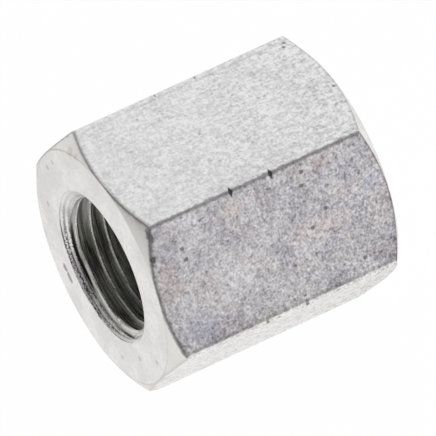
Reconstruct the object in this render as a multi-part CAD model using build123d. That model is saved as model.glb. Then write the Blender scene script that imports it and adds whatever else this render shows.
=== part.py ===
from build123d import *
import math
import os

# Female hex pipe plug: a piece of hexagonal bar, turned at both ends, drilled and tapped from one end.
# It lies on one of its flats. The drilled axis is Y, the mouth looks towards -Y, and Z is up.
# The origin is under the middle of the piece, on the plane it lies on. All sizes are in millimetres.

# Hexagonal bar
ACROSS_FLATS = 15.875
CORNER_RADIUS = 0.4
LENGTH = 16.75

# Turned chamfers: the circle left flat on each end, and the slope down from that end's plane
FRONT_CIRCLE = 15.8
FRONT_SLOPE_DEG = 30.0
BACK_CIRCLE = 15.5
BACK_SLOPE_DEG = 34.0

# Drilled hole, and the cone turned at its mouth
DRILL_DIAMETER = 8.73
DRILL_DEPTH = 11.5
DRILL_POINT_DEG = 118.0
MOUTH_DIAMETER = 10.32
MOUTH_CONE_DEG = 100.0

# Two fine V grooves, turned so shallow that they only nick the bar's corners
GROOVE_PLACES = (6.52, 9.38)
GROOVE_CIRCLE = 18.0
GROOVE_ANGLE_DEG = 100.0

# Sizes that follow from those above
FLAT_RADIUS = ACROSS_FLATS / 2
CORNER_REACH = FLAT_RADIUS / math.cos(math.radians(30))
HALF_LENGTH = LENGTH / 2
DRILL_RADIUS = DRILL_DIAMETER / 2
MOUTH_RADIUS = MOUTH_DIAMETER / 2
MOUTH_DEPTH = (MOUTH_RADIUS - DRILL_RADIUS) / math.tan(math.radians(MOUTH_CONE_DEG / 2))
POINT_DEPTH = DRILL_RADIUS / math.tan(math.radians(DRILL_POINT_DEG / 2))


def turned(outline):
    """Turn an outline, given as (distance from the axis, position along it), once around the axis."""
    points = [(radius, along) for radius, along in outline]
    face = make_face(Polyline(*points, close=True))
    return revolve(face, axis=Axis.Y)


# The bar: a hexagon with its flats at the top and bottom and slightly rounded corners
section = RegularPolygon(radius=CORNER_REACH, side_count=6)
section = fillet(section.vertices(), CORNER_RADIUS)
bar = extrude(Plane.XZ * section, amount=HALF_LENGTH, both=True)

# The turned envelope: it cuts the bar's corners back to a circle at each end
front_rise = (CORNER_REACH - FRONT_CIRCLE / 2) * math.tan(math.radians(FRONT_SLOPE_DEG))
back_rise = (CORNER_REACH - BACK_CIRCLE / 2) * math.tan(math.radians(BACK_SLOPE_DEG))
envelope = turned(
    [
        (0, -HALF_LENGTH),
        (FRONT_CIRCLE / 2, -HALF_LENGTH),
        (CORNER_REACH, -HALF_LENGTH + front_rise),
        (CORNER_REACH, HALF_LENGTH - back_rise),
        (BACK_CIRCLE / 2, HALF_LENGTH),
        (0, HALF_LENGTH),
    ]
)

# The hole: a cone at the mouth, a straight wall and the cone that the drill's point leaves
hole = turned(
    [
        (0, -HALF_LENGTH - 1),
        (MOUTH_RADIUS, -HALF_LENGTH - 1),
        (MOUTH_RADIUS, -HALF_LENGTH),
        (DRILL_RADIUS, -HALF_LENGTH + MOUTH_DEPTH),
        (DRILL_RADIUS, -HALF_LENGTH + DRILL_DEPTH),
        (0, -HALF_LENGTH + DRILL_DEPTH + POINT_DEPTH),
    ]
)

# The corner grooves: each is a V in a ring that stands clear of the corners
groove_rise = CORNER_REACH - GROOVE_CIRCLE / 2 + 0.1
groove_spread = groove_rise * math.tan(math.radians(GROOVE_ANGLE_DEG / 2))
grooves = []
for place in GROOVE_PLACES:
    along = -HALF_LENGTH + place
    grooves.append(
        turned(
            [
                (GROOVE_CIRCLE / 2, along),
                (GROOVE_CIRCLE / 2 + groove_rise, along - groove_spread),
                (GROOVE_CIRCLE / 2 + groove_rise, along + groove_spread),
            ]
        )
    )

# One solid, lifted so that its lowest flat lies at Z = 0
plug = (bar & envelope) - hole
for groove in grooves:
    plug = plug - groove
plug = Pos(0, 0, FLAT_RADIUS) * plug

os.makedirs("parts", exist_ok=True)
export_step(plug, "parts/hex_plug.step")
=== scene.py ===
# %% [markdown]
# # A female hex pipe plug
#
# The plug is a short piece of hexagonal steel bar. A lathe has faced and chamfered both of its ends, drilled
# it from one end and cut a fine pipe thread in the hole, and then it was zinc-plated in a barrel with many
# others. Its look comes from three finishes on one metal: the drawn flats, which are grainy, the turned ends,
# which are smooth, and the thread, where the plating hardly reaches and the steel stays dark.
#
# The solid model gives the sizes. The constants below are in millimetres, because that is how a maker reads
# them, and each place is turned into metres when it goes into a mesh.

import math

import bmesh
import bpy
import numpy as np
from mathutils import Matrix, Vector


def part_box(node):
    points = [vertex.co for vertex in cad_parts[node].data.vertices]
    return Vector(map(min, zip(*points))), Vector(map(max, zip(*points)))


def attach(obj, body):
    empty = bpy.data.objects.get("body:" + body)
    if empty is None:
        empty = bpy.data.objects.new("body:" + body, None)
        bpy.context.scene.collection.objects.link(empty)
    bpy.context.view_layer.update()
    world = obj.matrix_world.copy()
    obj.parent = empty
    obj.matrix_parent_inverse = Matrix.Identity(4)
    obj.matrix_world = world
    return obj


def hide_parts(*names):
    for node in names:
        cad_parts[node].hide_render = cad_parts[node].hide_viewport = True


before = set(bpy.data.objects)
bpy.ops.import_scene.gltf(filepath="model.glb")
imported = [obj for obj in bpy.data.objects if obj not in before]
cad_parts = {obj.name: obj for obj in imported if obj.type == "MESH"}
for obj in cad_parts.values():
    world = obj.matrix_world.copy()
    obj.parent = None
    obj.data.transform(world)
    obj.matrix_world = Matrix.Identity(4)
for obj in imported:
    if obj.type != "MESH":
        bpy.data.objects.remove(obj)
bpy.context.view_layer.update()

MM = 0.001
low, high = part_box("hex_plug")
ACROSS_FLATS = (high.z - low.z) / MM
LENGTH = (high.y - low.y) / MM
print(f"plug: {ACROSS_FLATS:.3f} mm across flats, {LENGTH:.3f} mm long")

# %% [markdown]
# ## The camera
#
# The photograph was taken from above and to one side, from so far away that the plug's edges stay almost
# parallel. A camera with no perspective at all would come close, but the far end is a little smaller than the
# near one, so it is a very long lens a metre away. The camera's three directions were worked out from the
# corners of the hexagon, so they are written down as they came.

# %% Camera
LENS_MM = 1400.0
CAMERA_RIGHT = Vector((0.5153, 0.8570, -0.0020))
CAMERA_UP = Vector((-0.6513, 0.3931, 0.6490))
CAMERA_BACK = Vector((0.5570, -0.3331, 0.7607))
CAMERA_METRES = 1.0504
SLIDE_RIGHT = 0.0069
SLIDE_UP = -0.2287

middle = (low + high) / 2
camera = bpy.data.objects.new("camera", bpy.data.cameras.new("camera"))
bpy.context.scene.collection.objects.link(camera)
camera.data.lens = LENS_MM
turn = Matrix((CAMERA_RIGHT.normalized(), CAMERA_UP.normalized(), CAMERA_BACK.normalized())).transposed()
place = middle + CAMERA_BACK.normalized() * CAMERA_METRES
place += CAMERA_RIGHT * SLIDE_RIGHT * MM + CAMERA_UP * SLIDE_UP * MM
camera.matrix_world = Matrix.Translation(place) @ turn.to_4x4()
bpy.context.scene.camera = camera
bpy.context.scene.view_settings.view_transform = "Standard"
print("camera at", [round(v, 4) for v in place])

# %% [markdown]
# ## Sums that become nodes
#
# Materials, the world's light and the thread below are all made of nodes, and most of those nodes are plain
# arithmetic. Wiring them one by one hides the idea behind them. So a small class wraps a socket that carries a
# number, and a sum written with it adds the Math nodes by itself.

# %% A number that adds its own nodes
class Value:
    """A socket that carries a number. A sum written with it adds the nodes for that sum."""

    def __init__(self, bench, socket):
        self.bench = bench
        self.socket = socket

    def math(self, operation, *numbers):
        made = self.bench.node("ShaderNodeMath", {"operation": operation}, dict(enumerate(numbers)))
        return Value(self.bench, made.outputs[0])

    def __add__(self, other):
        return self.math("ADD", self, other)

    def __radd__(self, other):
        return self.math("ADD", other, self)

    def __sub__(self, other):
        return self.math("SUBTRACT", self, other)

    def __rsub__(self, other):
        return self.math("SUBTRACT", other, self)

    def __mul__(self, other):
        return self.math("MULTIPLY", self, other)

    def __rmul__(self, other):
        return self.math("MULTIPLY", other, self)

    def __truediv__(self, other):
        return self.math("DIVIDE", self, other)

    def __pow__(self, other):
        return self.math("POWER", self, other)

    def __abs__(self):
        return self.math("ABSOLUTE", self)

    def at_least(self, other):
        return self.math("MAXIMUM", self, other)

    def at_most(self, other):
        return self.math("MINIMUM", self, other)

    def off_whole(self):
        """How far a number is from the nearest whole one, with its sign."""
        return self - self.math("ROUND", self)

    def rise(self, start, end):
        """0 before start, 1 past end, and a smooth rise between them. With start above end it falls."""
        flip = start > end
        first, last = (end, start) if flip else (start, end)
        values = {"Value": self, "From Min": first, "From Max": last}
        values |= {"To Min": float(flip), "To Max": 1.0 - flip}
        made = self.bench.node("ShaderNodeMapRange", {"interpolation_type": "SMOOTHSTEP"}, values)
        return Value(self.bench, made.outputs["Result"])


print("a sum can add its own nodes")

# %% A bench for making nodes
class Bench:
    """Makes the nodes of one tree."""

    def __init__(self, tree):
        self.tree = tree
        tree.nodes.clear()

    def node(self, kind, settings=None, values=None):
        """Add a node: its settings come first, then what its sockets hold or are linked to."""
        made = self.tree.nodes.new(kind)
        for name, setting in (settings or {}).items():
            setattr(made, name, setting)
        for key, value in (values or {}).items():
            if isinstance(value, Value):
                value = value.socket
            if isinstance(value, bpy.types.NodeSocket):
                self.tree.links.new(value, made.inputs[key])
            else:
                made.inputs[key].default_value = value
        return made

    def number(self, socket):
        return Value(self, socket)

    def split(self, vector):
        """The three numbers of a vector."""
        made = self.node("ShaderNodeSeparateXYZ", None, {0: vector})
        return [Value(self, output) for output in made.outputs]

    def join(self, x, y, z):
        return self.node("ShaderNodeCombineXYZ", None, {0: x, 1: y, 2: z}).outputs[0]


print("the bench is ready")

# %% [markdown]
# ## Floor and light
#
# The plug lies on plain white paper in soft light. Bare metal has no colour of its own to speak of: what is
# seen on it is the room. The room could be lamps and boards, but each would show in the metal as a hard shape.
# So the light is the world itself: an even pale room, a darker zone in front, which the low side of the
# countersink mirrors, and a slightly dimmer right side, which the right-hand flat mirrors. The paper gives
# the end face its warm white. For the camera, the paper and the room behind it are plain white.

# %% Paper floor
FLOOR_METRES = 0.6
PAPER = (0.93, 0.93, 0.93, 1.0)
PAPER_SEEN = (1.0, 1.0, 1.0, 1.0)
PAPER_IN_METAL = (1.0, 0.993, 0.975, 1.0)
SHADOW_SHARE = 0.012

bpy.ops.mesh.primitive_plane_add(size=FLOOR_METRES, location=(0, 0, 0))
floor = bpy.context.object
floor.name = "paper_floor"
paper = bpy.data.materials.new("white_paper")
paper.use_nodes = True
bench = Bench(paper.node_tree)
rays = bench.node("ShaderNodeLightPath").outputs
seen = bench.number(rays["Is Camera Ray"]).at_least(bench.number(rays["Is Glossy Ray"]))
seen = seen.at_least(bench.number(rays["Is Transmission Ray"]))
matt = bench.node("ShaderNodeBsdfDiffuse", None, {"Color": PAPER})
white = bench.node("ShaderNodeEmission", None, {"Color": PAPER_SEEN, "Strength": 1.0})
warm = bench.node("ShaderNodeEmission", None, {"Color": PAPER_IN_METAL, "Strength": 1.0})
shown = bench.node(
    "ShaderNodeMixShader", None, {0: rays["Is Camera Ray"], 1: warm.outputs[0], 2: white.outputs[0]}
)
mixed = bench.node(
    "ShaderNodeMixShader", None, {0: seen * (1.0 - SHADOW_SHARE), 1: matt.outputs[0], 2: shown.outputs[0]}
)
bench.node("ShaderNodeOutputMaterial", None, {"Surface": mixed.outputs[0]})
floor.data.materials.append(paper)
print("floor:", FLOOR_METRES, "m of paper")

# %% Light of the room
ROOM = 0.83
DARK_FRONT, FRONT_WAY, FRONT_EDGE = 0.22, Vector((-0.10, -0.85, 0.52)), (0.40, 0.90)
DIM_RIGHT, RIGHT_WAY, RIGHT_EDGE = 0.89, Vector((0.95, 0.10, 0.30)), (0.35, 1.0)

world = bpy.data.worlds.new("studio")
bpy.context.scene.world = world
world.use_nodes = True
bench = Bench(world.node_tree)
toward = bench.split(bench.node("ShaderNodeTexCoord").outputs["Generated"])
to_front = toward[0] * FRONT_WAY.x + toward[1] * FRONT_WAY.y + toward[2] * FRONT_WAY.z
to_right = toward[0] * RIGHT_WAY.x + toward[1] * RIGHT_WAY.y + toward[2] * RIGHT_WAY.z
level = ROOM - to_front.rise(*FRONT_EDGE) * (ROOM - DARK_FRONT)
level = level * (1.0 - to_right.rise(*RIGHT_EDGE) * (1.0 - DIM_RIGHT))
rays = bench.node("ShaderNodeLightPath").outputs
seen = bench.number(rays["Is Camera Ray"])
strength = level + seen * (1.0 - level)
sky = bench.node("ShaderNodeBackground", None, {"Color": (1, 1, 1, 1), "Strength": strength})
bench.node("ShaderNodeOutputWorld", None, {"Surface": sky.outputs[0]})
print("room light:", DARK_FRONT, "in front,", DIM_RIGHT, "of it on the right,", ROOM, "elsewhere")

# %% [markdown]
# ## The outside of the plug
#
# The bar is a hexagon with slightly rounded corners, and each end is turned to a cone that cuts those corners
# into the curved edges that every hex fitting has. Two fine turned grooves nick the corners near the middle.
#
# A Boolean cut would give this shape, but with long thin faces that take no rounding and shade badly. So the
# skin is built as a net: 240 columns go once around the section, and each column runs from the mouth over the
# end face, the chamfer, the flat and the other chamfer to the middle of the closed end. Because each column
# knows its own distance from the axis, its rows can stop exactly where the cone meets the flat.

# %% Sizes of the outside
CORNER_RADIUS = 0.4
FRONT_CIRCLE, FRONT_SLOPE = 15.8, math.tan(math.radians(30.0))
BACK_CIRCLE, BACK_SLOPE = 15.5, math.tan(math.radians(34.0))
GROOVE_PLACES = (6.52, 9.38)
GROOVE_CIRCLE, GROOVE_SPREAD = 18.0, math.tan(math.radians(50.0))
MOUTH_RADIUS, MOUTH_SLOPE = 5.16, math.tan(math.radians(50.0))

SIXTH = math.radians(60)
COS_30, SIN_30, TAN_30 = math.cos(SIXTH / 2), 0.5, math.tan(SIXTH / 2)
HALF = LENGTH / 2
FLAT_RADIUS = ACROSS_FLATS / 2
REACH = FLAT_RADIUS / COS_30
print(f"outside: {REACH:.3f} mm from the axis to a sharp corner")

# %% Section of the bar
CORNER_STEPS = 4
FLAT_STEPS = 16
WIDENING = 1.6
HALF_SIDE = CORNER_STEPS + FLAT_STEPS
COLUMNS = 12 * HALF_SIDE


def bar_section():
    """Points around the bar's section: even steps round a corner, then wider ones to the flat's middle."""
    half_flat = REACH / 2 - CORNER_RADIUS * TAN_30
    points = []
    for corner in range(6):
        to_corner = SIXTH * corner
        centre = (REACH - CORNER_RADIUS / COS_30) * np.array([math.cos(to_corner), math.sin(to_corner)])
        for step in range(-HALF_SIDE, HALF_SIDE):
            side = 1 if step > 0 else -1
            swing = to_corner + SIXTH / 2 * max(-CORNER_STEPS, min(CORNER_STEPS, step)) / CORNER_STEPS
            point = centre + CORNER_RADIUS * np.array([math.cos(swing), math.sin(swing)])
            if abs(step) > CORNER_STEPS:
                along = to_corner + side * 2 * SIXTH
                travel = half_flat * ((abs(step) - CORNER_STEPS) / FLAT_STEPS) ** WIDENING
                point = point + travel * np.array([math.cos(along), math.sin(along)])
            points.append(point)
    return np.array(points)


section = bar_section()
reach = np.hypot(section[:, 0], section[:, 1])
angle = np.unwrap(np.arctan2(section[:, 1], section[:, 0]))
even_angle = np.radians(360.0 / COLUMNS * np.arange(-HALF_SIDE, COLUMNS - HALF_SIDE))
print("section:", len(section), "points, reach", reach.min().round(3), "to", reach.max().round(3), "mm")

# %% Rounded edges at both ends
EDGE_TRIM = 0.05
MOST_OF_A_SIDE = 0.42
ARM = 1.0
CIRCLE_ARC_STEPS, BAR_ARC_STEPS = 2, 4
ONES = np.ones(COLUMNS)


def soften(before, corner, after, trim, steps):
    """Small arcs in place of a corner of the columns' outline.

    Each of the three places is (radius, along), with one number for each column.
    """
    before, corner, after = (np.array(point) for point in (before, corner, after))
    inward, outward = before - corner, after - corner
    room = np.minimum(np.hypot(*inward), np.hypot(*outward)) * MOST_OF_A_SIDE
    cut = np.minimum(trim, room)
    start = corner + inward / np.hypot(*inward) * cut
    end = corner + outward / np.hypot(*outward) * cut
    shares = np.linspace(0, 1, steps + 1)
    return [(1 - s) ** 2 * start + 2 * s * (1 - s) * corner + s**2 * end for s in shares]


def end_outline(circle, slope, sign):
    """One end's outline in every column: round the circle on the face, down the cone and on to the bar."""
    inside = (ONES * (circle / 2 - ARM), ONES * sign * HALF)
    on_circle = (ONES * circle / 2, ONES * sign * HALF)
    on_bar = (reach, sign * (HALF - (reach - circle / 2) * slope))
    on_wall = (reach, on_bar[1] - sign * ARM)
    circle_arc = soften(inside, on_circle, on_bar, EDGE_TRIM, CIRCLE_ARC_STEPS)
    bar_arc = soften(on_circle, on_bar, on_wall, EDGE_TRIM, BAR_ARC_STEPS)
    return circle_arc + bar_arc


front = end_outline(FRONT_CIRCLE, FRONT_SLOPE, -1)
back = end_outline(BACK_CIRCLE, BACK_SLOPE, 1)[::-1]
print("ends:", len(front), "and", len(back), "rows")

# %% Rows of the outside
FACE_RINGS = (0.0, 0.012, 0.06, 0.2, 0.4, 0.6, 0.8, 0.94)
BACK_RINGS = (0.98, 0.9, 0.7, 0.5, 0.3, 0.12)
GROOVE_ROWS = (-1.5, -1.12, -1, -0.6, -0.2, 0, 0.2, 0.6, 1, 1.12, 1.5)
NARROWEST_GROOVE = 0.02
ROW_GAP = 0.03
ROWS_BEFORE, ROWS_BETWEEN, ROWS_AFTER = 15, 7, 16


def steps_to(start, end, count):
    """Rows that divide the way from start to end into equal steps. The last one is at the end."""
    return [start + (end - start) * share for share in np.linspace(0, 1, count + 1)[1:]]


rows = []
for share in FACE_RINGS:
    ring = MOUTH_RADIUS + (FRONT_CIRCLE / 2 - MOUTH_RADIUS) * share
    rows.append((ONES * ring, -HALF * ONES, even_angle + (angle - even_angle) * share))
rows += [(out, along, angle) for out, along in front]

groove_width = np.maximum((reach - GROOVE_CIRCLE / 2) * GROOVE_SPREAD, NARROWEST_GROOVE)
grooves = [[-HALF + spot + groove_width * share for share in GROOVE_ROWS] for spot in GROOVE_PLACES]
stops = [front[-1][1] + ROW_GAP]
stops += steps_to(stops[-1], grooves[0][0], ROWS_BEFORE)[:-1] + grooves[0]
stops += steps_to(stops[-1], grooves[1][0], ROWS_BETWEEN)[:-1] + grooves[1]
stops += steps_to(stops[-1], back[0][1] - ROW_GAP, ROWS_AFTER)
for along in stops:
    bottom = reach
    for spot in GROOVE_PLACES:
        bottom = np.minimum(bottom, GROOVE_CIRCLE / 2 + np.abs(along + HALF - spot) / GROOVE_SPREAD)
    rows.append((bottom, along, angle))
rows += [(out, along, angle) for out, along in back]
rows += [(ONES * BACK_CIRCLE / 2 * share, HALF * ONES, angle) for share in BACK_RINGS]
print("outside:", len(rows), "rows of", COLUMNS)

# %% [markdown]
# ## A knocked corner
#
# The lowest corner at the mouth has had a knock, which has pressed it round by an eighth of a millimetre. It
# could be sculpted, but a bell curve in the net's own numbers does it: the dent is deepest at one place and
# fades along the corner and around it. It also fades towards the axis, so the mouth's circle stays round.

# %% Net of the outside
KNOCK_DEPTH = 0.13
KNOCK_DEGREES, KNOCK_PLACE = -60.0, 0.6
KNOCK_WIDTH_DEGREES, KNOCK_LENGTH = 5.0, 0.5
KNOCK_FROM, KNOCK_GROWTH = 6.5, 1.2


def knocked(out, along, around):
    """The distance from the axis, less where the lowest corner of the mouth end is knocked round."""
    turned = (np.degrees(around) - KNOCK_DEGREES + 180.0) % 360.0 - 180.0
    depth = KNOCK_DEPTH * np.clip((out - KNOCK_FROM) / KNOCK_GROWTH, 0.0, 1.0)
    off_middle = (turned / KNOCK_WIDTH_DEGREES) ** 2 + ((along + HALF - KNOCK_PLACE) / KNOCK_LENGTH) ** 2
    return out - depth * np.exp(-off_middle)


def net(rows):
    """A mesh from rows of (distance from the axis, along, angle), closed around the axis.

    A point in the middle of the last row closes that end.
    """
    points = []
    for out, along, around in rows:
        out = knocked(out, along, around)
        points.append(np.stack([out * np.cos(around), along, FLAT_RADIUS + out * np.sin(around)], 1))
    points = np.concatenate(points + [np.array([[0.0, HALF, FLAT_RADIUS]])]) * MM
    faces = []
    for row in range(len(rows) - 1):
        for column in range(COLUMNS):
            beside = (column + 1) % COLUMNS
            a, b = row * COLUMNS + column, row * COLUMNS + beside
            faces.append((a, b, b + COLUMNS, a + COLUMNS))
    first = (len(rows) - 1) * COLUMNS
    for column in range(COLUMNS):
        faces.append((first + column, first + (column + 1) % COLUMNS, len(points) - 1))
    mesh = bpy.data.meshes.new("outside")
    mesh.from_pydata([tuple(p) for p in points], [], faces)
    return mesh


outside = net(rows)
print("outside:", len(outside.vertices), "points,", len(outside.polygons), "faces")

# %% [markdown]
# ## The threaded hole
#
# A thread is one V-shaped groove that winds around the hole, and a mesh for it should wind in the same way: a
# grid whose rows climb by one pitch in each turn keeps its crests sharp with few faces. A Screw modifier can
# wind a profile, but it can't end a thread in a countersink. Geometry Nodes can, because the whole thread is
# one rule. A point's place on the grid gives its angle and its depth, its depth gives its place in the pitch,
# and that gives its radius. The countersink is part of the same rule: the surface lies wherever the thread or
# the cone is farther from the axis.
#
# A pipe thread is tapered, so its root comes nearer to the axis as it goes deeper, and its crests, which are
# what the drill left, get wider. It is right-hand: the groove goes deeper as it turns clockwise.

# %% Sizes of the thread
DRILL_RADIUS = 4.365
ROWS_A_TURN, TURNS = 24, 11
START = 2 * SIXTH

THREAD_SIZES = {
    "Columns": ("NodeSocketInt", COLUMNS + 1),
    "Rows": ("NodeSocketInt", ROWS_A_TURN * TURNS + 1),
    "Pitch": ("NodeSocketFloat", 25.4 / 27),
    "Turns": ("NodeSocketFloat", float(TURNS)),
    "Start angle": ("NodeSocketFloat", START),
    "First crest": ("NodeSocketFloat", 0.145),
    "First notch": ("NodeSocketFloat", 0.23),
    "First lean": ("NodeSocketFloat", 0.12),
    "Crest width": ("NodeSocketFloat", 0.17),
    "Crest radius": ("NodeSocketFloat", DRILL_RADIUS),
    "Crest wear": ("NodeSocketFloat", 0.045),
    "Root radius": ("NodeSocketFloat", 5.06),
    "Taper": ("NodeSocketFloat", 1 / 32),
    "Thread depth": ("NodeSocketFloat", 9.2),
    "Mouth radius": ("NodeSocketFloat", MOUTH_RADIUS),
    "Mouth slope": ("NodeSocketFloat", MOUTH_SLOPE),
    "Drill depth": ("NodeSocketFloat", 11.5),
    "Drill point": ("NodeSocketFloat", DRILL_RADIUS / math.tan(math.radians(59.0))),
}
zinc = bpy.data.materials.new("zinc_plated_steel")
zinc.use_nodes = True
thread_tree = bpy.data.node_groups.new("threaded_hole", "GeometryNodeTree")
ask = thread_tree.interface.new_socket
thread_sockets = {}
for name, (kind, _) in THREAD_SIZES.items():
    thread_sockets[name] = ask(name=name, in_out="INPUT", socket_type=kind)
thread_sockets["Metal"] = ask(name="Metal", in_out="INPUT", socket_type="NodeSocketMaterial")
ask(name="Geometry", in_out="OUTPUT", socket_type="NodeSocketGeometry")
print("thread:", len(thread_sockets), "inputs")

# %% A sheet, and how it is bent round
bench = Bench(thread_tree)
given = bench.node("NodeGroupInput").outputs
size = {name: bench.number(given[name]) for name in THREAD_SIZES}


def sheet(rows_up):
    """A flat grid, one unit square, and the shares of the way across and up it."""
    values = {"Size X": 1.0, "Size Y": 1.0, "Vertices X": size["Columns"], "Vertices Y": rows_up}
    grid = bench.node("GeometryNodeMeshGrid", None, values).outputs["Mesh"]
    across, up, _ = bench.split(bench.node("GeometryNodeInputPosition").outputs[0])
    return grid, across + 0.5, up + 0.5


def wrap(grid, out, depth, share, crest):
    """Bend a grid around the hole's axis, and note on each point how near it is to the thread's crest."""
    around = size["Start angle"] - share * math.tau
    x = out * around.math("COSINE", around)
    z = out * around.math("SINE", around) + FLAT_RADIUS
    y = depth - HALF
    kept = bench.node(
        "GeometryNodeStoreNamedAttribute",
        {"data_type": "FLOAT", "domain": "POINT"},
        {"Geometry": grid, "Name": "crest", "Value": crest},
    )
    values = {"Geometry": kept.outputs[0], "Position": bench.join(x * MM, y * MM, z * MM)}
    return bench.node("GeometryNodeSetPosition", None, values).outputs[0]


print("sheet: it starts at", round(math.degrees(START)), "degrees")

# %% [markdown]
# ### The groove, and how it begins
#
# The phase counts crests: it is a whole number on each crest's middle, so its distance from the nearest whole
# number says how far down the flank a point is. The groove fades out near the bottom of the hole.
#
# The beginning takes more care than the rest. Before the first crest there is no groove yet, only the cone, so
# the first groove grows in its first tenth of a turn, and the skin closes there. A tap also leaves a shallow
# notch just ahead of the first crest, and this crest leans a little towards the mouth, low on both sides.

# %% The groove's rule
STEEP = math.tan(SIXTH)
FADE_PITCHES = (0.0, 1.4)
FIRST_TENTH = (0.0, 0.1)
LEAN_ABOVE, LEAN_BELOW = (-0.88, -0.50), (0.60, -0.40)
LEAN_PHASE = (0.5, 0.1)

grid, share, up = sheet(size["Rows"])
turns = up * size["Turns"] - 1.0 + share
depth = (turns * size["Pitch"]).at_least(0.0).at_most(size["Thread depth"])
around = size["Start angle"] - share * math.tau
# How high a point is: -1 on the hole's lowest side, 1 on its highest
how_high = around.math("SINE", around)

phase = turns - share - size["First crest"] / size["Pitch"]
lean = size["First lean"] * how_high.rise(*LEAN_ABOVE) * how_high.rise(*LEAN_BELOW)
phase = phase + lean / size["Pitch"] * phase.rise(*LEAN_PHASE)
off_crest = abs(phase.off_whole()) * size["Pitch"]
crest_width = size["Crest width"] + depth * size["Taper"]
flank = (off_crest - crest_width * 0.5).at_least(0.0) * STEEP
root = size["Root radius"] - depth * size["Taper"] - size["Crest radius"]
fading = ((size["Thread depth"] - depth) / size["Pitch"]).rise(*FADE_PITCHES)
cut = flank.at_most(root) * fading

before_first = phase.math("LESS_THAN", phase, 0.0)
first_groove = phase.math("LESS_THAN", phase, 1.0) - before_first
not_grown = first_groove * (1.0 - share.rise(*FIRST_TENTH))
cut = cut * (1.0 - before_first - not_grown)
print("groove:", len(thread_tree.nodes), "nodes")

# %% The notch, the cone and the worn crests
NOTCH_IN = (0.15, 0.45)
NOTCH_LEAST_LOW, NOTCH_LOW = 0.45, (-1.0, -0.80)
NOTCH_LEAST_HIGH, NOTCH_HIGH = 0.35, (0.20, -0.55)
WEAR_IN = (0.3, 0.7)
DEEPEST_CUT = 0.65
NOTCH_DARKENS = 7.0

notch_flank = ((first_groove - phase) * size["Pitch"] - crest_width * 0.5) * STEEP
notch = (size["First notch"] - abs(notch_flank - size["First notch"])).at_least(0.0)
notch = notch * (before_first + not_grown) * depth.rise(*NOTCH_IN)
notch = notch * (NOTCH_LEAST_LOW + how_high.rise(*NOTCH_LOW) * (1.0 - NOTCH_LEAST_LOW))
notch = notch * (NOTCH_LEAST_HIGH + how_high.rise(*NOTCH_HIGH) * (1.0 - NOTCH_LEAST_HIGH))
cone = size["Mouth radius"] - depth * size["Mouth slope"]
out = (size["Crest radius"] + cut).at_least(cone) + notch
wear = (off_crest / (crest_width * 0.5)).at_most(1.0)
out = out + wear * wear * size["Crest wear"] * depth.rise(*WEAR_IN) * fading
# In the notch the crest number drops far below zero, so that the hole's colours paint the notch as dark shade
crest = 1.0 - cut / DEEPEST_CUT - notch * NOTCH_DARKENS
thread = wrap(grid, out, depth, share, crest)
print("thread:", len(thread_tree.nodes), "nodes")

# %% The drilled wall and the end of the tree
WALL_ROWS = 25
NO_CREST = 0.0
MERGE_METRES = 1e-6

grid, share, up = sheet(WALL_ROWS)
depth = size["Thread depth"] + (up * 2.0).at_most(1.0) * (size["Drill depth"] - size["Thread depth"])
beyond = (up * 2.0 - 1.0).at_least(0.0)
depth = depth + beyond * size["Drill point"]
wall = wrap(grid, size["Crest radius"] * (1.0 - beyond), depth, share, NO_CREST)

both = bench.node("GeometryNodeJoinGeometry", None, {"Geometry": thread})
thread_tree.links.new(wall, both.inputs[0])
merged = bench.node(
    "GeometryNodeMergeByDistance", None, {"Geometry": both.outputs[0], "Distance": MERGE_METRES}
)
real = bench.node("GeometryNodeRealizeInstances", None, {0: merged.outputs[0]})
dressed = bench.node(
    "GeometryNodeSetMaterial", None, {"Geometry": real.outputs[0], "Material": given["Metal"]}
)
bench.node("NodeGroupOutput", None, {0: dressed.outputs[0]})
print("hole:", len(thread_tree.nodes), "nodes")

# %% Thread mesh
holder = bpy.data.objects.new("threaded_hole", bpy.data.meshes.new("empty_mesh"))
bpy.context.scene.collection.objects.link(holder)
winding = holder.modifiers.new("thread", "NODES")
winding.node_group = thread_tree
for name, (_, value) in THREAD_SIZES.items():
    winding[thread_sockets[name].identifier] = value
winding[thread_sockets["Metal"].identifier] = zinc
ready = holder.evaluated_get(bpy.context.evaluated_depsgraph_get())
hole = bpy.data.meshes.new_from_object(ready)
holder.modifiers.remove(winding)
bpy.data.objects.remove(holder)
print("thread:", len(hole.vertices), "points,", len(hole.polygons), "faces")

# %% [markdown]
# ## One closed piece
#
# The real plug is one piece of steel, so its skin is one closed mesh. The outside and the hole meet in the
# circle at the mouth, where both have a point in each column. They are put into one mesh, the doubled points
# are merged, and only then are the faces turned to look outwards, because that needs a closed shape.

# %% Join the skin
DOUBLE_METRES = 2e-6
SLIVER_METRES = 1e-7

shape = bmesh.new()
shape.verts.layers.float.new("crest")
shape.from_mesh(outside)
shape.from_mesh(hole)
bmesh.ops.remove_doubles(shape, verts=shape.verts, dist=DOUBLE_METRES)
bmesh.ops.dissolve_degenerate(shape, edges=shape.edges, dist=SLIVER_METRES)
bmesh.ops.recalc_face_normals(shape, faces=shape.faces)
loose = [edge for edge in shape.edges if len(edge.link_faces) != 2]
skin = bpy.data.meshes.new("plug")
shape.to_mesh(skin)
volume = shape.calc_volume() / MM**3
shape.free()
skin.materials.clear()
skin.materials.append(zinc)
skin.polygons.foreach_set("use_smooth", [True] * len(skin.polygons))
skin.polygons.foreach_set("material_index", [0] * len(skin.polygons))
plug = bpy.data.objects.new("plug", skin)
bpy.context.scene.collection.objects.link(plug)
print("plug:", len(skin.polygons), "faces,", len(loose), "open edges,", round(volume, 1), "cubic mm")

# %% [markdown]
# ## The metal
#
# Zinc plate is a thin bright metal over steel, and all of the plug has it. What differs is the steel below:
# rolled and drawn on the flats, turned on the ends, cut by the tap in the hole. Three materials would meet in
# hard borders, and the skin would have to be cut up for them. So there is one material, and masks say which
# finish a point has. The masks are worked out from the place on the piece, as a maker would measure it: how
# far from the axis, how far from a corner, how far from a chamfer.

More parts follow.
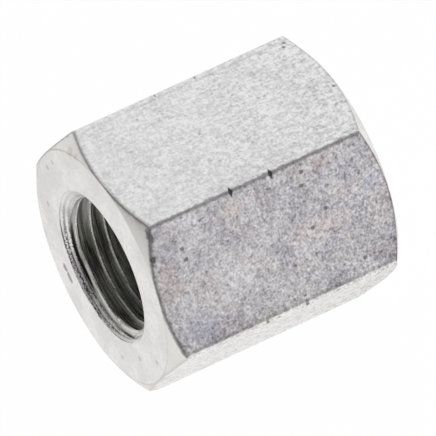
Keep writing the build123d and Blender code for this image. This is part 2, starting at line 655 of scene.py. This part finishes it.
# %% Places on the piece, in millimetres
OUTSIDE_FROM = (6.9, 7.3)
CONE_EDGE = (0.004, 0.03)
FACE_EDGE = (0.002, 0.012)
MOUTH_EDGE = 0.02
CLOSED_END = (0.5, 1.0)
MOUTH_END = (1.0, 0.5)

bench = Bench(zinc.node_tree)
lookup = bench.node("ShaderNodeTexCoord").outputs
centring = {"Vector": lookup["Object"], "Location": (0, 0, -FLAT_RADIUS), "Scale": (1 / MM, 1 / MM, 1 / MM)}
centred = bench.node("ShaderNodeMapping", None, centring).outputs[0]
x, y, z = bench.split(centred)
radius = (x * x + z * z) ** 0.5
off_flat = (z.math("ARCTAN2", z, x) / SIXTH - 0.5).off_whole() * SIXTH
across = off_flat.math("TANGENT", off_flat) * FLAT_RADIUS
from_corner = REACH / 2 - abs(across)
below_flat = FLAT_RADIUS - radius * off_flat.math("COSINE", off_flat)
from_front = y + HALF - (radius - FRONT_CIRCLE / 2) * FRONT_SLOPE
from_back = HALF - y - (radius - BACK_CIRCLE / 2) * BACK_SLOPE
outside_part = radius.rise(*OUTSIDE_FROM)
off_ends = (HALF - abs(y)).rise(*FACE_EDGE)
drawn = from_front.rise(*CONE_EDGE) * from_back.rise(*CONE_EDGE) * off_ends * outside_part
in_hole = radius.rise(MOUTH_RADIUS + MOUTH_EDGE, MOUTH_RADIUS - MOUTH_EDGE) * (HALF - y).rise(*CLOSED_END)
near_mouth = (y + HALF).rise(*MOUTH_END)
print("places:", len(zinc.node_tree.nodes), "nodes")

# %% Kinds of pattern
PIT_EDGE = (0.42, 0.16)
SURE_PITS = 0.6


def noise(size, detail=2.0, rough=0.5, stretch=(1, 1, 1), shift=(0, 0, 0)):
    """Soft random grain, from 0 to 1, whose spots are about size millimetres across."""
    scale = tuple(1 / (size * s) for s in stretch)
    spread = bench.node("ShaderNodeMapping", None, {"Vector": centred, "Location": shift, "Scale": scale})
    values = {"Vector": spread.outputs[0], "Scale": 1.0, "Detail": detail, "Roughness": rough}
    return bench.number(bench.node("ShaderNodeTexNoise", None, values).outputs[0])


def lines(count, spread, detail):
    """Tool marks around the axis: count says where in their row a point is, and spread breaks them up."""
    values = {"Vector": bench.join(count, x * spread, z * spread), "Scale": 1.0, "Detail": detail}
    return bench.number(bench.node("ShaderNodeTexNoise", None, values).outputs[0])


def pits(size, share):
    """Scattered small pits: 1 in the middle of a pit, 0 between them. Share is how many cells have one."""
    scale = (1 / size, 1 / size, 1 / size)
    spread = bench.node("ShaderNodeMapping", None, {"Vector": centred, "Scale": scale})
    cells = bench.node("ShaderNodeTexVoronoi", None, {"Vector": spread.outputs[0], "Scale": 1.0}).outputs
    chance = bench.split(cells["Color"])[0]
    near = bench.number(cells["Distance"]).rise(*PIT_EDGE)
    return near * chance.rise(1.0 - share, 1.0 - share * SURE_PITS)


def tint(amount, colour, other):
    """One colour turned into another by an amount from 0 to 1."""
    values = {0: amount, 6: colour, 7: other}
    return bench.node("ShaderNodeMix", {"data_type": "RGBA"}, values).outputs[2]


def film(amount, colour, other):
    """A see-through film of another colour over a colour, by an amount from 0 to 1."""
    values = {0: amount, 6: colour, 7: other}
    return bench.node("ShaderNodeMix", {"data_type": "RGBA", "blend_type": "MULTIPLY"}, values).outputs[2]


print("patterns: noise, lines and pits, and two ways to lay a colour on another")

# %% Patterns of this plug
fine = noise(size=0.16, detail=1.0)
coarse = noise(size=0.34, rough=0.6, shift=(1, 4, 0))
streaks = noise(size=0.16, detail=1.0, stretch=(1, 3.0, 1), shift=(3, 0, 0))
clouds = noise(size=2.2, shift=(0, 5, 0))
patches = noise(size=1.6, detail=3.0, rough=0.6, shift=(9, 2, 4))
broken = noise(size=0.11, rough=0.6, shift=(2, 6, 3))
wander = noise(size=0.35, detail=3.0, rough=0.6, shift=(7, 7, 1))
spots = pits(size=0.34, share=0.22)
print("patterns:", len(zinc.node_tree.nodes), "nodes")

# %% [markdown]
# ## Drawn flats
#
# The flats keep the skin of the drawn bar: small pits and short streaks along it, which the plating copies.
# The pits are painted dark, as shade in them, and the plate has faint pink and blue tints where its film is
# thicker. One side of the bar is rougher and more tinted than the others, and is also painted darker, as
# painted shade.
#
# A painted map would fix each pit, but it needs unwrapping and has only so many pixels. Noise in the metal's
# own millimetres stays sharp at any size. It is mixed to one tone, which runs from the dark of a pit to bright
# zinc, and a number for each side sets how strong and how dark the grain is there.

# %% Sides of the bar
ROUGH_TOP_EDGE, ROUGH_LOW_EDGE, RIGHT_HALF = (-0.06, 0.10), (0.06, 0.24), (0.0, 1.0)
UNDER_TOP_EDGE, UNDER_LOW_EDGE = (0.1, 0.0), (0.0, 0.2)
TOP_EDGE = (7.7, 7.9)


def by_side(smooth, rough):
    """One number for the smooth sides, another for the rough one, which is also painted in shade."""
    return smooth + rough_shaded_side * (rough - smooth)


toward_rough = x * COS_30 + z * SIN_30
rough_shaded_side = (toward_rough - z).rise(*ROUGH_TOP_EDGE) * z.rise(*ROUGH_LOW_EDGE) * x.rise(*RIGHT_HALF)
under_side = (x * STEEP + z).rise(*UNDER_LOW_EDGE) * z.rise(*UNDER_TOP_EDGE)
top_side = z.rise(*TOP_EDGE)
toward_back = (y + HALF) / LENGTH
print("sides:", len(zinc.node_tree.nodes), "nodes")

# %% Tone of the grain
FINE_SHARE, COARSE_SHARE, STREAK_SHARE = 0.9, 0.8, 0.7
# Two numbers are for the smooth sides and for the rough, shaded one
MOUTH_CONTRAST, BACK_CONTRAST, SIDE_CONTRAST = (0.70, 0.81), (0.58, 0.28), (0.92, 1.21)
CLOUD_SHARE = (0.20, 0.55)
# The rough side's lower level is partly its rougher grain and partly painted shade
TONE_LEVEL = (0.80, 0.645)
# Each painted shading change, a flat darker or lighter towards some of its edges: its side, what is measured
# there, over which span, and how much it adds
SHADING_CHANGES = (
    (top_side, x, (1.0, 4.0), -0.05),
    (top_side, x, (-1.0, -4.0), 0.02),
    (rough_shaded_side, across, (-0.5, -3.5), -0.08),
    (rough_shaded_side, y, (-4.0, -6.5), -0.05),
    (under_side, toward_back, (0.70, 1.0), -0.10),
)

grain = (fine - 0.5) * FINE_SHARE + (coarse - 0.5) * COARSE_SHARE
grain = grain + (streaks - 0.5) * (1.0 - rough_shaded_side) * STREAK_SHARE
contrast = by_side(*MOUTH_CONTRAST) + toward_back * by_side(*BACK_CONTRAST)
contrast = contrast * (by_side(*SIDE_CONTRAST) + under_side)
tone = grain * contrast + (clouds - 0.5) * by_side(*CLOUD_SHARE) + by_side(*TONE_LEVEL)
# Painted shade and light across the flats
for side, measure, span, change in SHADING_CHANGES:
    tone = tone + side * measure.rise(*span) * change
print("tone:", len(zinc.node_tree.nodes), "nodes")

# %% Colour of the flats
DEEP = (0.34, 0.33, 0.34, 1)
ZINC = (1.0, 1.0, 1.0, 1)
# The rough side's darker pit colour is partly painted shade
ROUGH_DEEP = (0.135, 0.115, 0.125, 1)
ROUGH_ZINC = (0.97, 0.955, 0.985, 1)
PINK_FILM = (0.96, 0.885, 0.85, 1)
BLUE_FILM = (0.87, 0.88, 0.97, 1)
GRIME_AND_SHADE = (0.10, 0.09, 0.085, 1)
PINK_PATCHES, BLUE_CLOUDS = (0.48, 0.66), (0.50, 0.38)
FILM_SHARE, PIT_SHARE = (0.06, 0.40), (0.10, 0.45)

flat_colour = tint(tone, tint(rough_shaded_side, DEEP, ROUGH_DEEP), tint(rough_shaded_side, ZINC, ROUGH_ZINC))
flat_colour = film(patches.rise(*PINK_PATCHES) * by_side(*FILM_SHARE), flat_colour, PINK_FILM)
flat_colour = film(clouds.rise(*BLUE_CLOUDS) * by_side(*FILM_SHARE), flat_colour, BLUE_FILM)
# Pits painted dark, as shade in them
flat_colour = tint(spots * by_side(*PIT_SHARE), flat_colour, GRIME_AND_SHADE)
print("flats:", len(zinc.node_tree.nodes), "nodes")

# %% [markdown]
# ## Turned ends
#
# A facing tool leaves fine rings around the axis. They are so fine and even on the end face that only a faint
# sheen is left, and they show best in the countersink, where the low side mirrors the dark front of the room
# and glitters: thin bright and dark rings, broken up and a little purple. On that low side the dark rings are
# also painted much darker, as painted reflection of the dark front.
#
# Rings could be real grooves, but at a few hundredths of a millimetre they would cost a million faces. Noise
# that is stretched around the axis gives the same rings as a colour and a bump.

# %% Colour of the turned ends
TURNED = (0.90, 0.90, 0.90, 1)
TURNED_DULL = (0.70, 0.695, 0.69, 1)
RING_DARK = (0.10, 0.09, 0.09, 1)
RING_PURPLE = (0.36, 0.27, 0.34, 1)
CHAMFER = (0.81, 0.795, 0.775, 1)
DULL_CLOUDS, DULL_SHARE = (0.35, 0.65), 0.5
DULL_GRAIN, DULL_LEVEL = 1.4, 0.16
CHAMFER_EDGE, CHAMFER_SHARE = 0.05, 0.6
LOW_WAY, LOW_EDGE = (-0.45, -0.89), (-0.1, 0.9)
RINGS_OUT, RINGS_IN, RINGS_BREAK = 7.0, 5.0, 0.35
WAVES_OUT, WAVES_BEND, WAVE_SHARE = 25.0, 8.0, 0.16
GLITTER_GRAIN = 1.1
PURPLE_PATCHES, PURPLE_SHARE = (0.42, 0.60), 0.42
DARK_EDGE, DARK_EVERYWHERE, DARK_IN_GLITTER = (0.44, 0.62), 0.18, 0.80

rings = lines(radius * RINGS_OUT - y * RINGS_IN, spread=RINGS_BREAK, detail=3.0)
turned_colour = tint(clouds.rise(*DULL_CLOUDS) * DULL_SHARE, TURNED, TURNED_DULL)
dull = (fine - 0.5) + (coarse - 0.5) * DULL_GRAIN + DULL_LEVEL
turned_colour = tint(dull, turned_colour, TURNED_DULL)
on_chamfer = radius.rise(FRONT_CIRCLE / 2, FRONT_CIRCLE / 2 + CHAMFER_EDGE) * near_mouth
turned_colour = tint(on_chamfer * CHAMFER_SHARE, turned_colour, CHAMFER)
low_side = ((x * LOW_WAY[0] + z * LOW_WAY[1]) / radius).rise(*LOW_EDGE)
glitter = low_side * low_side
wave = radius * WAVES_OUT + rings * WAVES_BEND
sparkle = wave.math("SINE", wave) * WAVE_SHARE + rings + (broken - 0.5) * glitter * GLITTER_GRAIN
purple = low_side * patches.rise(*PURPLE_PATCHES) * PURPLE_SHARE
ring_colour = tint(purple, turned_colour, RING_PURPLE)
# Dark rings: painted much darker on the low side, as painted reflection of the dark front of the room
dark_ring = sparkle.rise(*DARK_EDGE) * (DARK_EVERYWHERE + glitter * DARK_IN_GLITTER)
ring_colour = tint(dark_ring, ring_colour, RING_DARK)
print("turned ends:", len(zinc.node_tree.nodes), "nodes")

# %% [markdown]
# ## Thread
#
# In a plating barrel the current hardly reaches into a small hole. The crests of the thread get some zinc, and
# its roots stay dark steel, which is painted darker still as shade in the roots, most on the hole's low side.
# Between the two, the tap has left scratches along the groove and feed marks around the hole.
#
# The tree that wound the thread has noted on each point how near it is to a crest. The colour goes by that
# number, so it winds with the groove by itself, which a pattern in plain space couldn't do.

# %% Steel of the thread
FEED_MARK = (0.08, 0.082, 0.07, 1)
ROOT = (0.20, 0.205, 0.175, 1)
FLANK = (0.84, 0.84, 0.80, 1)
LOW_FLANK = (0.80, 0.81, 0.74, 1)
CREST = (0.96, 0.95, 0.96, 1)
WORN_SHADED_CREST = (0.45, 0.45, 0.43, 1)
BROWN_GLINT = (0.52, 0.42, 0.42, 1)
BLUE_GLINT = (0.32, 0.42, 0.60, 1)
SCRATCHES_UP, SCRATCHES_BREAK = 9.0, 0.35
SCRATCH_CONTRAST, SCRATCH_LEVEL = 2.2, 0.15
FEED_ALONG, FEED_OUT, FEED_BREAK = 10.0, 5.0, 0.5
ROOT_EDGE = (0.0, 0.30)
BROWN_CLOUDS, BROWN_SHARE = (0.48, 0.60), 0.35
BLUE_PATCHES, BLUE_GLINT_SHARE = (0.58, 0.70), 0.5
CREST_SHADE_LEAST, CREST_SHADE_LOW, CREST_SHADE_LOW_EDGE = 0.15, 0.70, (-3.8, -2.2)
CREST_SHADE_RIGHT, CREST_SHADE_RIGHT_EDGE = 0.9, (-1.5, 1.0)
WORN_GRAIN = 2.2

crest = bench.number(bench.node("ShaderNodeAttribute", {"attribute_name": "crest"}).outputs["Fac"])
scratches = lines(crest * SCRATCHES_UP, spread=SCRATCHES_BREAK, detail=3.0)
feed_lines = lines(y * FEED_ALONG - radius * FEED_OUT, spread=FEED_BREAK, detail=2.0)
# Flanks painted a little darker on the hole's low side, as painted shade
thread_colour = tint(crest.rise(*ROOT_EDGE), ROOT, tint(low_side, FLANK, LOW_FLANK))
thread_colour = tint((scratches - 0.5) * SCRATCH_CONTRAST + SCRATCH_LEVEL, thread_colour, ROOT)
thread_colour = tint(clouds.rise(*BROWN_CLOUDS) * BROWN_SHARE, thread_colour, BROWN_GLINT)
thread_colour = tint(patches.rise(*BLUE_PATCHES) * BLUE_GLINT_SHARE, thread_colour, BLUE_GLINT)
# Crests painted darker on the hole's low and right side, as painted shade; the broken noise adds random wear
crest_shade_share = CREST_SHADE_LEAST + z.rise(*CREST_SHADE_LOW_EDGE) * CREST_SHADE_LOW
crest_shade_share = crest_shade_share.at_least(x.rise(*CREST_SHADE_RIGHT_EDGE) * CREST_SHADE_RIGHT)
worn_and_shaded = low_side * crest_shade_share + (broken - 0.5) * WORN_GRAIN
print("thread steel:", len(zinc.node_tree.nodes), "nodes")

# %% Crests, roots and the first turns
ROOT_SHADE = (0.03, 0.03, 0.03, 1)
ON_CREST = (0.82, 0.98)
FEED_CONTRAST, FEED_LEVEL, FEED_GRAIN = 4.4, 0.12, 0.9
ROOT_SHADE_EDGE, ROOT_SHADE_LEAST = (0.3, -0.2), 0.4
PAST_CONE = (0.01, 0.05)
OFF_ROOT, OFF_CREST = (0.10, 0.4), (0.95, 0.80)
LIT_HIGH, LIT_LOW, LIT_LOW_SHARE = (-2.2, -0.2), (-3.5, -4.2), 0.14
FIRST_TURNS = (3.4, 1.7)
LIT_FLANK_SHARE = 0.6

thread_colour = tint(crest.rise(*ON_CREST), thread_colour, tint(worn_and_shaded, CREST, WORN_SHADED_CREST))
feed = (feed_lines - 0.5) * FEED_CONTRAST + FEED_LEVEL + (broken - 0.5) * FEED_GRAIN
thread_colour = tint(feed, thread_colour, FEED_MARK)
# Painted shade in the roots of the thread, strongest on the hole's low side
root_shade = crest.rise(*ROOT_SHADE_EDGE) * (ROOT_SHADE_LEAST + low_side * (1.0 - ROOT_SHADE_LEAST))
thread_colour = tint(root_shade, thread_colour, ROOT_SHADE)
cone_radius = MOUTH_RADIUS - (y + HALF) * MOUTH_SLOPE
deep = (radius - cone_radius).rise(*PAST_CONE)
hole_colour = tint(deep, ring_colour, thread_colour)
on_flank = crest.rise(*OFF_ROOT) * crest.rise(*OFF_CREST) * deep * in_hole
lit_part = (z.rise(*LIT_HIGH) + z.rise(*LIT_LOW) * LIT_LOW_SHARE) * (y + HALF).rise(*FIRST_TURNS)
matt_lit_flank = lit_part * on_flank
# Flanks of the first turns painted lighter, mostly on the hole's upper side, as painted light
hole_colour = tint(matt_lit_flank * LIT_FLANK_SHARE, hole_colour, CREST)
print("hole:", len(zinc.node_tree.nodes), "nodes")

# %% [markdown]
# ## Lines along the edges
#
# Where the chamfers meet the flats a dark line is painted. The corners of the bar have one too, broken and
# uneven, which is painted shade of their rounding, strongest on one upper corner, and the two fine grooves
# are painted dark where they nick the corners. Each line is worked out as a distance from its edge, and a soft
# noise makes it wander, so that it looks handled and not drawn with a ruler.

# %% Lines at the ends of the flats
RAGGED_MM, FRONT_RAGGED = 0.16, 1.6
OFF_CORNER = 1.25
FRONT_LINE_SPAN, BACK_LINE_SPAN, CIRCLE_LINE_SPAN = (0.27, 0.02), (0.16, 0.0), (0.09, 0.02)
CIRCLE_LEAST = 0.08
CIRCLE_LEFT, CIRCLE_LEFT_SHARE = (8.0, 11.0), 0.22
CIRCLE_RIGHT, CIRCLE_RIGHT_SHARE = (8.5, 10.5), 0.14

ragged = (wander - 0.5) * RAGGED_MM
front_line = from_front + below_flat * OFF_CORNER + ragged * FRONT_RAGGED
front_line = front_line.rise(*FRONT_LINE_SPAN) * outside_part
back_line = (from_back + below_flat * OFF_CORNER + ragged).rise(*BACK_LINE_SPAN) * outside_part
circle_line = abs(radius - FRONT_CIRCLE / 2 + ragged).rise(*CIRCLE_LINE_SPAN) * near_mouth
circle_shade = CIRCLE_LEAST + (z - x).rise(*CIRCLE_LEFT) * CIRCLE_LEFT_SHARE
circle_shade = circle_shade + (x - z).rise(*CIRCLE_RIGHT) * CIRCLE_RIGHT_SHARE
print("end lines:", len(zinc.node_tree.nodes), "nodes")

# %% Lines along the corners
UPPER_CORNER = (0.85, 0.97)
NARROWEST_LINE, LINE_WIDTH, LINE_WANDER = 0.03, (0.11, 0.18), 0.36
LINE_EDGE, OTHER_CORNERS = (1.6, 0.2), 0.10
ON_TOP, LEFT_PART = (-0.05, -0.01), (-2.0, -3.0)
LEFT_LINE_IN, LEFT_LINE_EDGE = 0.42, (0.14, 0.04)
UNDER_LINE_UP, UNDER_LINE_EDGE, UNDER_PART = 0.27, (0.16, 0.05), (8.0, 8.3)
NICK_REACH, NICK_SLANT, NICK_RAGGED, NICK_EDGE = (0.30, 0.54), 0.50, 0.5, (0.0, 0.06)
NICK_LEAST = 0.65

# Corner lines: painted shade of the rounded corners, strongest on one upper corner
corner_side = ((x * SIN_30 + z * COS_30) / REACH).rise(*UPPER_CORNER)
corner_width = by_side(*LINE_WIDTH) + (wander - 0.5) * LINE_WANDER
corner_shade_line = (from_corner / corner_width.at_least(NARROWEST_LINE)).rise(*LINE_EDGE)
corner_shade_line = corner_shade_line * (OTHER_CORNERS + corner_side * (1.0 - OTHER_CORNERS)) * drawn
left_strip = (z - FLAT_RADIUS).rise(*ON_TOP) * x.rise(*LEFT_PART)
left_line = abs(from_corner - LEFT_LINE_IN).rise(*LEFT_LINE_EDGE) * left_strip
under_line = abs(z - UNDER_LINE_UP).rise(*UNDER_LINE_EDGE) * x.rise(*UNDER_PART) * drawn
# Nicks of the grooves, painted dark
nicks = 0.0
for groove in GROOVE_PLACES:
    beside = abs(y + HALF - groove)
    nick = (by_side(*NICK_REACH) - from_corner) * NICK_SLANT - beside + ragged * NICK_RAGGED
    nicks = nick.rise(*NICK_EDGE) + nicks
nicks = nicks.at_most(1.0) * outside_part * (NICK_LEAST + corner_side * (1.0 - NICK_LEAST))
print("corner lines:", len(zinc.node_tree.nodes), "nodes")

# %% [markdown]
# ## Marks of use
#
# A bulk-plated part is tumbled with others, so it has small dark flecks and pits, a scratch on its face, and
# stains where the plate dried unevenly. Random marks would do for a new part, but these are this plug's own.
# So each has its place, measured from the middle of its flat or from the axis. One function makes them all: a
# soft ellipse round that place, with its edge made ragged by the same noise as the lines.

# %% One mark, and where it can be
MARK_RAGGED, MARK_EDGE = 1.2, (1.15, 0.55)
BELOW_FACE, BELOW_CORNER = 0.1, 0.05


def mark(place, along, wide):
    """A soft ragged mark, at a place on the skin, of these half sizes along the axis and square to it."""
    scale = (1 / wide, 1 / along, 1 / wide)
    shift = tuple(-p * s for p, s in zip(place, scale))
    moved = bench.node("ShaderNodeMapping", None, {"Vector": centred, "Location": shift, "Scale": scale})
    distance = bench.node("ShaderNodeVectorMath", {"operation": "LENGTH"}, {0: moved.outputs[0]})
    return (bench.number(distance.outputs["Value"]) + (wander - 0.5) * MARK_RAGGED).rise(*MARK_EDGE)


def on_top(sideways, along):
    return (sideways, along, FLAT_RADIUS)


def on_right(sideways, along):
    return (FLAT_RADIUS * COS_30 + sideways * SIN_30, along, FLAT_RADIUS * SIN_30 - sideways * COS_30)


def on_face(sideways, up):
    return (sideways, -HALF, up)


def behind_face(sideways, up):
    return (sideways, -HALF + BELOW_FACE, up)


def on_low_corner(along):
    return (REACH - BELOW_CORNER, along, 0.0)


print("a mark can be on the top, the right, the face or the low corner")

# %% Dark flecks and pits
TOP_FLECKS = (
    (-3.3, -3.8), (-2.0, 2.25), (-0.9, 3.9), (-0.35, -1.1), (1.95, 1.35), (2.2, -1.15), (0.77, -8.2),
)
EDGE_FLECKS = ((0.6, 8.0), (-4.0, 7.2), (-3.7, 7.0))
RIGHT_PITS = (
    (-3.75, 3.0), (-2.9, 2.7), (-1.6, -5.9), (-2.35, -6.0), (-0.83, 3.85), (0.0, 2.7), (3.3, 5.5),
)
FACE_SPECKS = ((-6.5, 2.97), (-5.9, 4.05), (-6.5, -0.47), (2.4, -6.14), (4.56, -4.16), (6.61, -2.39))
FACE_DASH = ((-4.52, -4.50), (-4.38, -4.60), (-4.05, -4.84), (-3.92, -4.94), (-3.78, -5.04))
# Each kind: its places, where they are, its two half sizes, and how dark it is
KINDS = (
    (TOP_FLECKS, on_top, 0.13, 0.11, 0.36),
    (EDGE_FLECKS, on_top, 0.14, 0.13, 0.66),
    (RIGHT_PITS, on_right, 0.17, 0.15, 0.70),
    ([(-2.45, -8.02)], on_right, 0.26, 0.30, 0.92),
    ([(-4.0, -7.75)], on_right, 0.22, 0.60, 0.82),
    ([(1.0,)], on_low_corner, 0.13, 0.42, 0.75),
    ([(-1.86,)], on_low_corner, 0.13, 0.42, 0.35),
    (FACE_SPECKS, on_face, 0.10, 0.20, 0.28),
    (FACE_DASH, on_face, 0.10, 0.25, 0.62),
)
marks = 0.0
for found, where, along, wide, strength in KINDS:
    for spot in found:
        marks = (mark(where(*spot), along, wide) * strength).at_least(marks)
print("flecks:", sum(len(kind[0]) for kind in KINDS))

# %% Stains
# Each stain: its place, and its two half sizes
FACE_STAINS = (((-3.9, 7.0), 0.6, 0.35), ((-3.1, 7.3), 0.6, 0.25))
RIGHT_TAN = (
    ((-0.8, -7.4), 0.9, 2.1), ((0.2, 3.0), 2.5, 0.9), ((-3.5, -2.0), 0.9, 0.6), ((-3.8, 4.5), 0.9, 0.5),
)
RIGHT_BLUE = (((3.1, -6.3), 1.5, 1.0), ((-1.1, 7.3), 0.8, 0.6))
RIGHT_OLIVE = (((4.35, -1.85), 0.9, 0.5),)


def stained(where, places):
    """All the stains of one colour, as one mask."""
    mask = 0.0
    for spot, along, wide in places:
        mask = mark(where(*spot), along, wide).at_least(mask)
    return mask


face_stain = stained(behind_face, FACE_STAINS)
tan_patch = stained(on_right, RIGHT_TAN)
blue_patch = stained(on_right, RIGHT_BLUE)
olive_patch = stained(on_right, RIGHT_OLIVE)
print("marks:", len(zinc.node_tree.nodes), "nodes")

# %% [markdown]
# ## Put the finishes together
#
# The finishes go on in the order in which a real plug gets them: the metal of each part and what has dried on
# it, then the rust, and the dark in its edges and pits comes last, which is partly painted shade. The grain is
# a bump as well as a colour, because a pit catches the light. The matt flanks of the first turns are less
# metallic, as dull plate is, and are painted lighter on the hole's upper side, as painted light.

# %% All lines and marks
FRONT_STRENGTH, FRONT_UNDER_FADES = (0.52, 0.72), 0.36
BACK_STRENGTH = (0.30, 0.52)
CORNER_SHADE_STRENGTH, NICK_STRENGTH = 0.65, 0.9
LEFT_STRENGTH, UNDER_STRENGTH = 0.12, 0.26

dark = front_line * (by_side(*FRONT_STRENGTH) - under_side * FRONT_UNDER_FADES)
dark = dark.at_least(back_line * by_side(*BACK_STRENGTH))
dark = dark.at_least(corner_shade_line * CORNER_SHADE_STRENGTH)
dark = dark.at_least(nicks * NICK_STRENGTH)
dark = dark.at_least(circle_line * circle_shade)
dark = dark.at_least(left_line * LEFT_STRENGTH)
dark = dark.at_least(under_line * UNDER_STRENGTH)
dark = dark.at_least(marks)
print("lines and marks:", len(zinc.node_tree.nodes), "nodes")

# %% The finished metal
STAIN = (0.58, 0.50, 0.40, 1)
RUST = (0.42, 0.16, 0.12, 1)
OLIVE_FILM = (0.93, 0.94, 0.81, 1)
TAN_SHARE, BLUE_SHARE, OLIVE_SHARE, STAIN_SHARE, RUST_SHARE = 0.6, 0.8, 0.55, 0.45, 0.5
RUST_PATCHES = (0.42, 0.56)
FINE_RELIEF, COARSE_RELIEF, PIT_RELIEF = 0.008, 0.016, 0.010
SIDE_RELIEF = (0.35, 1.20)
RING_RELIEF, GLITTER_RELIEF = 0.010, 0.022
ROUGH_DRAWN, ROUGH_TURNED = 0.38, 0.42
MATT_DULLS = 0.95

flat_colour = film(tan_patch * TAN_SHARE, flat_colour, PINK_FILM)
flat_colour = film(blue_patch * BLUE_SHARE, flat_colour, BLUE_FILM)
flat_colour = film(olive_patch * OLIVE_SHARE, flat_colour, OLIVE_FILM)
colour = tint(drawn, turned_colour, flat_colour)
colour = tint(face_stain * STAIN_SHARE, colour, STAIN)
colour = tint(in_hole, colour, hole_colour)
colour = tint(back_line * rough_shaded_side * patches.rise(*RUST_PATCHES) * RUST_SHARE, colour, RUST)
# Dark lines at the edges, painted shade at the corners, and flecks and pits
colour = tint(dark, colour, GRIME_AND_SHADE)
relief = fine * FINE_RELIEF + coarse * COARSE_RELIEF - spots * PIT_RELIEF
relief = relief * drawn * by_side(*SIDE_RELIEF)
ring_relief = RING_RELIEF + glitter * in_hole * (1.0 - deep) * GLITTER_RELIEF
relief = relief + rings * ring_relief * (1.0 - drawn)
bump = bench.node("ShaderNodeBump", None, {"Strength": 1.0, "Distance": MM, "Height": relief})
rough = ROUGH_TURNED - drawn * (ROUGH_TURNED - ROUGH_DRAWN)
metallic = 1.0 - matt_lit_flank * MATT_DULLS
values = {"Base Color": colour, "Metallic": metallic, "Roughness": rough, "Normal": bump.outputs[0]}
surface = bench.node("ShaderNodeBsdfPrincipled", None, values)
bench.node("ShaderNodeOutputMaterial", None, {"Surface": surface.outputs[0]})
print("metal:", len(zinc.node_tree.nodes), "nodes")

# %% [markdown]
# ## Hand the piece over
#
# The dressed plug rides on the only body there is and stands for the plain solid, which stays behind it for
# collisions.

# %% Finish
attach(plug, "root")
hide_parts("hex_plug")
